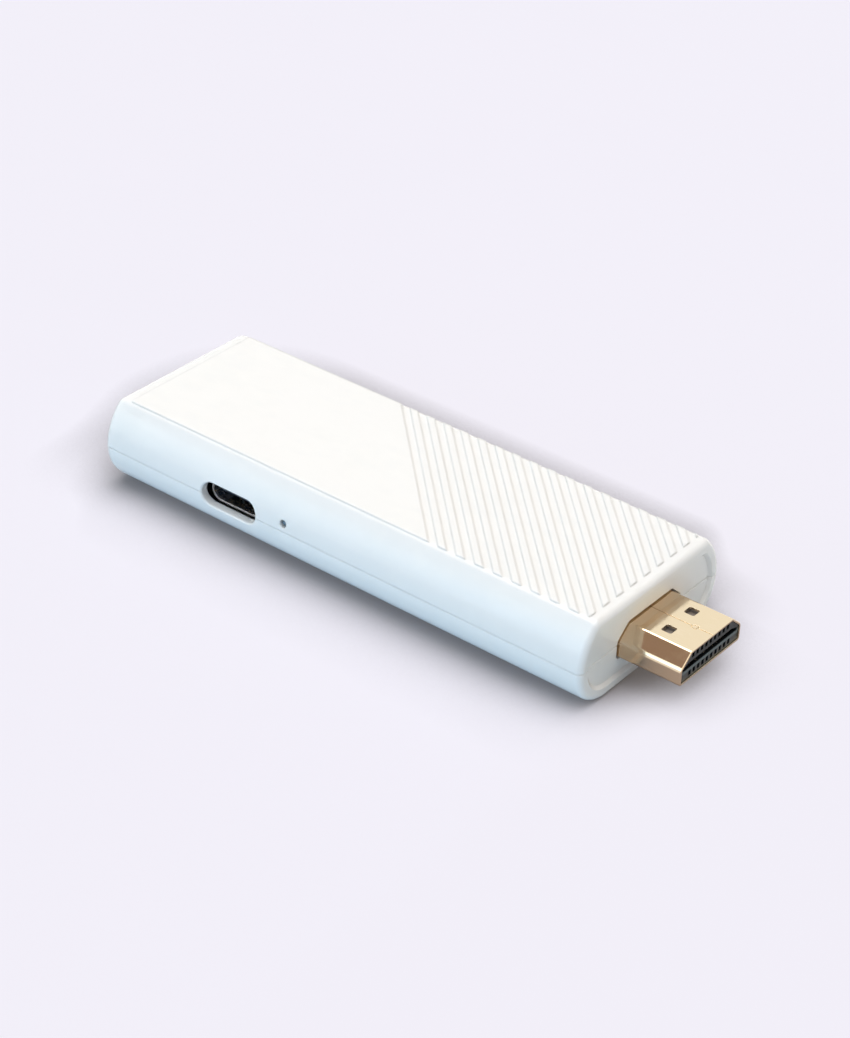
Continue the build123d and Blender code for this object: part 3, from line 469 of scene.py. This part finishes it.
def metal(name, colours, roughness, spacing, depth, edge):
    """A sheet metal: drawn lines, and softened edges in a second colour where they rub.

    The roughness is given for clean and for smeared metal.
    """
    finish = Finish(name)
    lines = finish.effect("Drawn Lines", Spacing=spacing)
    clean, smeared = roughness
    marks = finish.effect("Handling", Clean=clean, Smeared=smeared, Size=METAL_SMEARS)
    edges = finish.rounded_edges(edge)
    line_wear = times(finish.tree, lines["Mask"], LINE_WEAR)
    rubbed = maths(finish.tree, "MAXIMUM", edges["Mask"], line_wear)
    finish.skin = blend_colours(finish.tree, rubbed, *colours)
    finish.set(Base_Color=finish.skin, Roughness=marks["Roughness"], Metallic=1.0)
    finish.bump(lines["Height"], depth, edges["Normal"])
    return finish


# Operators, one for each group of pieces

class STICK_OT_groups(bpy.types.Operator):
    """Build the shader node groups that the finishes share"""
    bl_idname = "stick.build_groups"
    bl_label = "Build Shared Effects"

    def execute(self, context):
        build_grain()
        build_handling()
        build_drawn_lines()
        build_rounded_edges()
        build_circuit_tracks()
        build_end_caps()
        return {"FINISHED"}


class STICK_OT_housing(bpy.types.Operator):
    """Finish the two shells of the housing in glossy white plastic"""
    bl_idname = "stick.finish_housing"
    bl_label = "Finish Housing"

    def execute(self, context):
        look = context.scene.housing_look
        smear_roughness = 0.05
        finish = moulded(
            "gloss_white",
            colours=(look.white, look.shade),
            roughness=(look.gloss, look.gloss + smear_roughness),
            grain=look.grain_size,
            depth=0.4 * MICRON,
            edge=look.edge,
        )
        self.soften_ribs(finish, look)
        # Painted shade in reflections: glossy rays see the housing darker than it is, in the
        # mirrored colour
        rays = finish.tree.nodes.new("ShaderNodeLightPath")
        finish.set(
            Base_Color=blend_colours(
                finish.tree, rays.outputs["Is Glossy Ray"], finish.skin, look.mirrored
            ),
            Coat_Weight=0.25,
            Coat_Roughness=0.08,
            Subsurface_Weight=1.0,
            Subsurface_Scale=look.translucence,
            Subsurface_Radius=(1.0, 1.0, 1.0),
        )
        finish.paint("top_shell", "bottom_shell")
        return {"FINISHED"}

    def soften_ribs(self, finish, look):
        """Round the edges of the raised panel more than the rest of the housing."""
        panel_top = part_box("top_shell")[1].z
        plain_level, soft_level = panel_top - 0.25 * MM, panel_top - 0.2 * MM
        softness = between(
            finish.tree, axes(finish.tree)["Z"], plain_level, soft_level, look.edge, look.panel_edge
        )
        feed(finish.tree, softness, finish.edge_radius)


class STICK_OT_plug(bpy.types.Operator):
    """Finish the video plug: gold sheet, black moulding and gold contacts"""
    bl_idname = "stick.finish_plug"
    bl_label = "Finish Video Plug"

    def execute(self, context):
        look = context.scene.plug_look
        shell = metal(
            "gold_plate",
            colours=(look.gold, look.worn_gold),
            roughness=(0.09, 0.15),
            spacing=look.scratch_spacing,
            depth=0.25 * MICRON,
            edge=0.06 * MM,
        )
        shell.paint("hdmi_shell")
        insulator = moulded(
            "plug_moulding",
            colours=(look.insulator, darker(look.insulator, 0.6)),
            roughness=(0.35, 0.45),
            grain=0.12 * MM,
            depth=1.0 * MICRON,
            edge=0.04 * MM,
        )
        self.shade_cavities(insulator, look)
        insulator.paint("hdmi_insulator")
        contacts = metal(
            "contact_gold",
            colours=(look.contact_gold, look.worn_gold),
            roughness=(0.22, 0.3),
            spacing=0.05 * MM,
            depth=0.3 * MICRON,
            edge=0.03 * MM,
        )
        contacts.paint("hdmi_upper_contacts", "hdmi_lower_contacts")
        contacts.paint("usb_upper_contacts", "usb_lower_contacts")
        return {"FINISHED"}

    def shade_cavities(self, finish, look):
        """Paint shade on the moulding behind its face, a painted highlight on its lower lip, and
        painted light on its top under the latch windows.
        """
        tree = finish.tree
        low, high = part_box("hdmi_insulator")
        face, foot, top = high.x, low.z, high.z
        place = axes(tree)
        # Painted shade: the moulding turns almost black just behind its face
        depth_shade = between(tree, place["X"], face - 0.03 * MM, face - 0.12 * MM)
        back = between(tree, place["X"], face - 1.5 * MM, face - 2.0 * MM)
        upper = between(tree, place["Z"], top - 0.55 * MM, top - 0.45 * MM)
        # Painted highlight: a paler band across the face just under the slot
        lip_foot = between(tree, place["Z"], foot + 0.8 * MM, foot + 1.15 * MM)
        lip_top = between(tree, place["Z"], foot + 1.6 * MM, foot + 1.5 * MM)
        front = blend_colours(tree, times(tree, lip_foot, lip_top), finish.skin, look.lip)
        inside = blend_colours(tree, depth_shade, front, look.cavity_shade)
        # Painted light on the moulding's top under the latch windows
        lit_window_mask = times(tree, upper, back)
        finish.set(Base_Color=blend_colours(tree, lit_window_mask, inside, look.lit_insulator_top))


class STICK_OT_port(bpy.types.Operator):
    """Finish the power port: steel shell and dark tongue"""
    bl_idname = "stick.finish_port"
    bl_label = "Finish Power Port"

    def execute(self, context):
        look = context.scene.port_look
        shell = metal(
            "port_steel",
            colours=(look.steel, look.worn_steel),
            roughness=(0.2, 0.32),
            spacing=0.06 * MM,
            depth=0.4 * MICRON,
            edge=0.05 * MM,
        )
        shell.paint("usb_shell")
        tongue = moulded(
            "port_moulding",
            colours=(look.tongue, darker(look.tongue, 0.6)),
            roughness=(0.3, 0.4),
            grain=0.1 * MM,
            depth=0.6 * MICRON,
            edge=0.03 * MM,
        )
        tongue.paint("usb_insulator")
        return {"FINISHED"}


class STICK_OT_button(bpy.types.Operator):
    """Finish the reset button, its switch body, cover and spring leaf"""
    bl_idname = "stick.finish_button"
    bl_label = "Finish Reset Button"

    def execute(self, context):
        look = context.scene.port_look
        nose = moulded(
            "button_grey",
            colours=(look.button, darker(look.button, 0.8)),
            roughness=(0.35, 0.45),
            grain=0.1 * MM,
            depth=0.8 * MICRON,
            edge=0.03 * MM,
        )
        nose.paint("reset_plunger")
        body = moulded(
            "switch_black",
            colours=(look.switch, look.switch_shade),
            roughness=(0.4, 0.5),
            grain=0.1 * MM,
            depth=0.8 * MICRON,
            edge=0.03 * MM,
        )
        body.paint("reset_switch_body")
        cover = metal(
            "spring_steel",
            colours=(look.spring, look.worn_spring),
            roughness=(0.25, 0.35),
            spacing=0.05 * MM,
            depth=0.3 * MICRON,
            edge=0.02 * MM,
        )
        cover.paint("reset_switch_cover", "reset_leaf")
        return {"FINISHED"}


class STICK_OT_board(bpy.types.Operator):
    """Finish the circuit board and what is soldered to it"""
    bl_idname = "stick.finish_board"
    bl_label = "Finish Circuit Board"

    def execute(self, context):
        look = context.scene.board_look
        self.paint_board(look)
        package = moulded(
            "chip_moulding",
            colours=(look.chip, darker(look.chip, 1.5)),
            roughness=(0.5, 0.6),
            grain=0.05 * MM,
            depth=1.5 * MICRON,
            edge=0.04 * MM,
        )
        package.paint("processor", "memory_chips", "storage_chip", "power_chip", "line_protectors")
        ferrite = moulded(
            "ferrite",
            colours=(look.ferrite, look.ferrite_shade),
            roughness=(0.5, 0.65),
            grain=0.08 * MM,
            depth=3.0 * MICRON,
            edge=0.05 * MM,
        )
        ferrite.paint("power_inductors")
        screen = metal(
            "tin_sheet",
            colours=(look.tin, look.worn_tin),
            roughness=(0.3, 0.42),
            spacing=0.09 * MM,
            depth=0.6 * MICRON,
            edge=0.05 * MM,
        )
        screen.paint("wireless_shield", "clock_crystal", "hdmi_collar")
        for name, node, body, axis, pitch in (
            ("ceramic_small", "small_capacitors", look.ceramic, 0, 2.4 * MM),
            ("ceramic_bulk", "bulk_capacitors", look.ceramic, 0, 10 * MM),
            ("ceramic_antenna", "wifi_antenna", look.antenna, 1, 20 * MM),
        ):
            self.paint_two_ended(name, node, body, look.tin, axis, pitch)
        return {"FINISHED"}

    def paint_board(self, look):
        """Lacquered board with tracks that stand up under the lacquer."""
        board = Finish("board_lacquer")
        tracks = board.effect("Circuit Tracks", Spacing=look.track_spacing)
        marks = board.effect("Handling", Clean=0.3, Smeared=0.42, Size=12 * MM)
        board.set(
            Base_Color=blend_colours(board.tree, tracks["Mask"], look.mask, look.trace),
            Roughness=marks["Roughness"],
            Coat_Weight=0.3,
        )
        board.bump(tracks["Mask"], 12 * MICRON)
        board.paint("main_board", "wireless_module")

    def paint_two_ended(self, name, node, body, tin, axis, pitch):
        """A fired ceramic body with a plated cap at each end, along one axis."""
        low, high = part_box(node)
        span = high[axis] - low[axis]
        count = round(span / pitch) if span > pitch else 1
        body_length = span - (count - 1) * pitch
        finish = Finish(name)
        caps = finish.effect(
            "Plated Ends",
            Along=axes(finish.tree)[axis],
            First=low[axis] + body_length / 2,
            Pitch=pitch,
            Half_Body=body_length / 4,
        )
        marks = finish.effect("Handling", Clean=0.35, Smeared=0.5, Size=1.5 * MM)
        skin = finish.effect("Skin Grain", Size=0.1 * MM)
        finish.set(
            Base_Color=blend_colours(finish.tree, caps["Mask"], body, tin),
            Metallic=caps["Mask"],
            Roughness=marks["Roughness"],
        )
        finish.bump(skin["Height"], 1.0 * MICRON)
        finish.paint(node)


class STICK_OT_cooling(bpy.types.Operator):
    """Finish the heat spreader, its soft pads and the screws"""
    bl_idname = "stick.finish_cooling"
    bl_label = "Finish Heat Spreader"

    def execute(self, context):
        look = context.scene.cooling_look
        plate = metal(
            "brushed_aluminium",
            colours=(look.aluminium, look.worn_aluminium),
            roughness=(0.32, 0.42),
            spacing=0.1 * MM,
            depth=1.0 * MICRON,
            edge=0.08 * MM,
        )
        plate.paint("heat_spreader")
        pad = moulded(
            "silicone_pad",
            colours=(look.pad, darker(look.pad, 0.85)),
            roughness=(0.7, 0.8),
            grain=0.15 * MM,
            depth=4.0 * MICRON,
            edge=0.1 * MM,
        )
        pad.paint("thermal_pads")
        screw = metal(
            "screw_steel",
            colours=(look.screw, look.worn_screw),
            roughness=(0.3, 0.4),
            spacing=0.05 * MM,
            depth=0.5 * MICRON,
            edge=0.05 * MM,
        )
        screw.paint("board_screws")
        return {"FINISHED"}


class STICK_OT_stage(bpy.types.Operator):
    """Set up the floor, the lamps, the sky and the camera"""
    bl_idname = "stick.set_stage"
    bl_label = "Set Stage"

    def execute(self, context):
        look = context.scene.stage_look
        self.add_floor(look)
        self.add_lamps(look)
        self.add_sky(look)
        self.add_camera(context, look)
        context.scene.view_settings.view_transform = "Standard"
        return {"FINISHED"}

    def add_square(self, name, half_width, finish):
        """A flat square of the stage, which isn't part of the stick."""
        mesh = bpy.data.meshes.new(name)
        corners = [
            (-half_width, -half_width, 0.0),
            (half_width, -half_width, 0.0),
            (half_width, half_width, 0.0),
            (-half_width, half_width, 0.0),
        ]
        mesh.from_pydata(corners, [], [(0, 1, 2, 3)])
        mesh.materials.append(finish.material)
        square = bpy.data.objects.new(name, mesh)
        bpy.context.scene.collection.objects.link(square)
        return square

    def add_floor(self, look):
        """A wide floor that partly glows to the camera with a painted shade round the stick, and
        lights the stick in its own tint.
        """
        finish = Finish("floor_paper")
        tree = finish.tree
        skin = finish.effect("Skin Grain", Size=0.6 * MM)
        marks = finish.effect("Handling", Clean=0.75, Smeared=0.85, Size=0.2)
        rays = tree.nodes.new("ShaderNodeLightPath")
        stain = times(tree, marks["Mask"], 0.3)
        paper = blend_colours(tree, stain, look.floor, darker(look.floor, 0.985))
        lit = blend_colours(tree, rays.outputs["Is Diffuse Ray"], paper, look.bounce)
        place = axes(tree)
        # Painted shade in reflections: glossy rays see the floor darker within a band along the
        # stick
        stick_side, open_floor = 17 * MM, 22 * MM
        aside = maths(tree, "ABSOLUTE", place["Y"])
        outwards = between(tree, aside, stick_side, open_floor)
        mirrored = blend_colours(tree, outwards, look.mirrored_floor_shade, look.mirror_far)
        finish.set(
            Base_Color=blend_colours(tree, rays.outputs["Is Glossy Ray"], lit, mirrored),
            Roughness=marks["Roughness"],
        )
        finish.bump(skin["Height"], 6 * MICRON)

        # Painted shadow: camera rays see the floor partly as a glow in the backdrop colour,
        # darkened round the stick
        plug_foot, plug_middle = 36 * MM, 44 * MM
        beside_plug = between(tree, place["X"], plug_foot, plug_middle)
        plain = tree.nodes.new("ShaderNodeEmission")
        painted_shade = self.paint_shade_round_stick(tree, place, beside_plug, look)
        tree.links.new(painted_shade, plain.inputs["Color"])
        halo = between(tree, beside_plug, 0.0, 1.0, look.halo, look.plug_halo)
        seen = times(tree, rays.outputs["Is Camera Ray"], halo)
        surface = self.choose(tree, seen, finish.shader.outputs["BSDF"], plain.outputs["Emission"])
        tree.links.new(surface, finish.output.inputs["Surface"])
        floor = self.add_square("floor", half_width=4.0, finish=finish)
        floor.location.z = cad_box[0].z

    def paint_shade_round_stick(self, tree, place, beside_plug, look):
        """Colour of the floor's painted shade, from ambient occlusion, which is narrower at the
        ends and behind the plug.
        """
        straight_up = (0.0, 0.0, 1.0)
        over_the_stick = (0.35, -0.78, 0.52)
        before_end, past_end = 38 * MM, 47 * MM
        end_reach = 0.55 * look.halo_reach
        corner_reach = 0.6 * look.halo_behind

        far_end = between(tree, place["X"], -before_end, -past_end, 0.1, 0.45)
        near_darkest = maths(tree, "SUBTRACT", far_end, times(tree, beside_plug, 0.6))
        from_middle = maths(tree, "ABSOLUTE", place["X"])
        near_reach = between(tree, from_middle, before_end, past_end, look.halo_reach, end_reach)
        near = self.openness(tree, near_reach, straight_up, near_darkest)

        near_corner = between(tree, place["X"], 22 * MM, 38 * MM)
        behind_darkest = between(tree, near_corner, 0.0, 1.0, 0.64, 0.3)
        widest = between(tree, near_corner, 0.0, 1.0, look.halo_behind, corner_reach)
        towards_back = between(tree, place["Y"], -12 * MM, 10 * MM, 0.75, 1.0)
        behind_reach = times(tree, widest, towards_back)
        behind = self.openness(tree, behind_reach, over_the_stick, behind_darkest)
        return blend_colours(tree, times(tree, near, behind), look.shadow, look.backdrop)

    def openness(self, tree, reach, toward, darkest):
        """How much of the sky on one side a place on the floor sees, from 0 to 1."""
        node = tree.nodes.new("ShaderNodeAmbientOcclusion")
        node.samples = 6
        feed(tree, reach, node.inputs["Distance"])
        tilt = tree.nodes.new("ShaderNodeCombineXYZ")
        for axis, value in enumerate(toward):
            tilt.inputs[axis].default_value = value
        tree.links.new(tilt.outputs["Vector"], node.inputs["Normal"])
        return between(tree, node.outputs["AO"], darkest, 1.0)

    def add_sun(self, name, toward, spread, strength, tint):
        """An even light from one side, as wide as a large softbox."""
        data = bpy.data.lights.new(name, "SUN")
        data.angle = spread
        data.energy = math.pi * strength
        data.color = tint
        lamp = bpy.data.objects.new(name, data)
        bpy.context.scene.collection.objects.link(lamp)
        lamp.rotation_mode = "QUATERNION"
        lamp.rotation_quaternion = Vector(toward).to_track_quat("Z", "Y")

    def add_card(self, name, toward, away, width, tint):
        """A card that only mirrors see, facing the stick from one side; it glows faintly and paints
        a dark reflection in the metal.
        """
        finish = Finish(name)
        finish.set(
            Base_Color=(0.0, 0.0, 0.0),
            Specular_IOR_Level=0.0,
            Emission_Color=tint,
            Emission_Strength=1.0,
        )
        card = self.add_square(name, width / 2, finish)
        card.location = Vector(toward).normalized() * away
        card.rotation_mode = "QUATERNION"
        card.rotation_quaternion = Vector(toward).to_track_quat("-Z", "Y")
        card.visible_camera = card.visible_diffuse = False
        card.visible_shadow = card.visible_transmission = False

    def add_lamps(self, look):
        """A broad light overhead, three weak ones round the stick, and a card for the metal."""
        self.add_sun("key", (-0.12, 0.1, 1.0), look.key_spread, look.key, look.key_tint)
        for name, toward, strength, tint in (
            ("front", (-0.5, -0.85, 0.35), look.front, look.front_tint),
            ("cool", (0.0, -1.0, 0.12), look.cool, look.cool_tint),
            ("warm", (1.0, 0.1, 0.35), look.warm, look.warm_tint),
        ):
            self.add_sun(name, toward, look.side_spread, strength, tint)
        self.add_card("mirror_only_card", (-0.51, -0.44, 0.74), away=0.4, width=0.26, tint=look.card)

    def add_sky(self, look):
        """Even light from all round; the camera, mirrors and glass see a pale backdrop."""
        world = bpy.data.worlds.new("sky")
        bpy.context.scene.world = world
        world.use_nodes = True
        tree = world.node_tree
        tree.nodes.clear()
        output = tree.nodes.new("ShaderNodeOutputWorld")
        rays = tree.nodes.new("ShaderNodeLightPath").outputs
        light = self.add_backdrop(tree, look.sky_tint, look.sky)
        mirrored = self.add_backdrop(tree, look.mirror_tint, look.mirror_sky)
        plain = self.add_backdrop(tree, look.backdrop, 1.0)
        seen = maths(tree, "MAXIMUM", rays["Is Camera Ray"], rays["Is Transmission Ray"])
        light = self.choose(tree, rays["Is Glossy Ray"], light, mirrored)
        light = self.choose(tree, seen, light, plain)
        tree.links.new(light, output.inputs["Surface"])

    def add_backdrop(self, tree, tint, strength):
        """A plain background of one colour."""
        node = tree.nodes.new("ShaderNodeBackground")
        node.inputs["Color"].default_value = (*tint, 1.0)
        node.inputs["Strength"].default_value = strength
        return node.outputs["Background"]

    def choose(self, tree, switch, first, second):
        """The second shader where the switch is 1, or else the first."""
        node = tree.nodes.new("ShaderNodeMixShader")
        tree.links.new(switch, node.inputs["Fac"])
        tree.links.new(first, node.inputs[1])
        tree.links.new(second, node.inputs[2])
        return node.outputs["Shader"]

    def add_camera(self, context, look):
        """The camera at the photograph's angle."""
        aim = Vector((-13.875, 17.604, -8.269)) * MM
        data = bpy.data.cameras.new("camera")
        data.sensor_width = 36.0
        data.lens = look.lens
        data.clip_start, data.clip_end = 0.01, 20.0
        camera = bpy.data.objects.new("camera", data)
        context.scene.collection.objects.link(camera)
        run, rise = math.cos(look.elevation), math.sin(look.elevation)
        back = Vector((math.sin(look.azimuth) * run, -math.cos(look.azimuth) * run, rise))
        camera.location = aim + back * look.distance
        camera.rotation_mode = "QUATERNION"
        upright = (-back).to_track_quat("-Z", "Y")
        camera.rotation_quaternion = Quaternion(back, look.roll) @ upright
        context.scene.camera = camera


class STICK_PT_panel(bpy.types.Panel):
    """Sidebar panel with the stick's colours, sizes and steps"""
    bl_idname = "STICK_PT_panel"
    bl_label = "Streaming Stick"
    bl_space_type = "VIEW_3D"
    bl_region_type = "UI"
    bl_category = "Streaming Stick"

    def draw(self, context):
        layout = self.layout
        for name, label, _ in LOOKS:
            look = getattr(context.scene, name)
            box = layout.box()
            box.label(text=label)
            for field in look.__annotations__:
                box.prop(look, field)
        for step in STEPS:
            layout.operator(step.bl_idname)


LOOKS = [
    ("housing_look", "Housing", HousingLook),
    ("plug_look", "Video plug", PlugLook),
    ("port_look", "Power port and button", PortLook),
    ("board_look", "Circuit board", BoardLook),
    ("cooling_look", "Heat spreader", CoolingLook),
    ("stage_look", "Stage", StageLook),
]
STEPS = [
    STICK_OT_groups,
    STICK_OT_housing,
    STICK_OT_plug,
    STICK_OT_port,
    STICK_OT_button,
    STICK_OT_board,
    STICK_OT_cooling,
    STICK_OT_stage,
]
CLASSES = [look for _, _, look in LOOKS] + STEPS + [STICK_PT_panel]


def register():
    for item in CLASSES:
        bpy.utils.register_class(item)
    for name, label, look in LOOKS:
        setattr(bpy.types.Scene, name, PointerProperty(type=look, name=label))


def unregister():
    for name, _, _ in LOOKS:
        delattr(bpy.types.Scene, name)
    for item in reversed(CLASSES):
        bpy.utils.unregister_class(item)


def main():
    register()
    bpy.ops.stick.build_groups()
    bpy.ops.stick.finish_housing()
    bpy.ops.stick.finish_plug()
    bpy.ops.stick.finish_port()
    bpy.ops.stick.finish_button()
    bpy.ops.stick.finish_board()
    bpy.ops.stick.finish_cooling()
    bpy.ops.stick.set_stage()


if __name__ == "__main__":
    main()
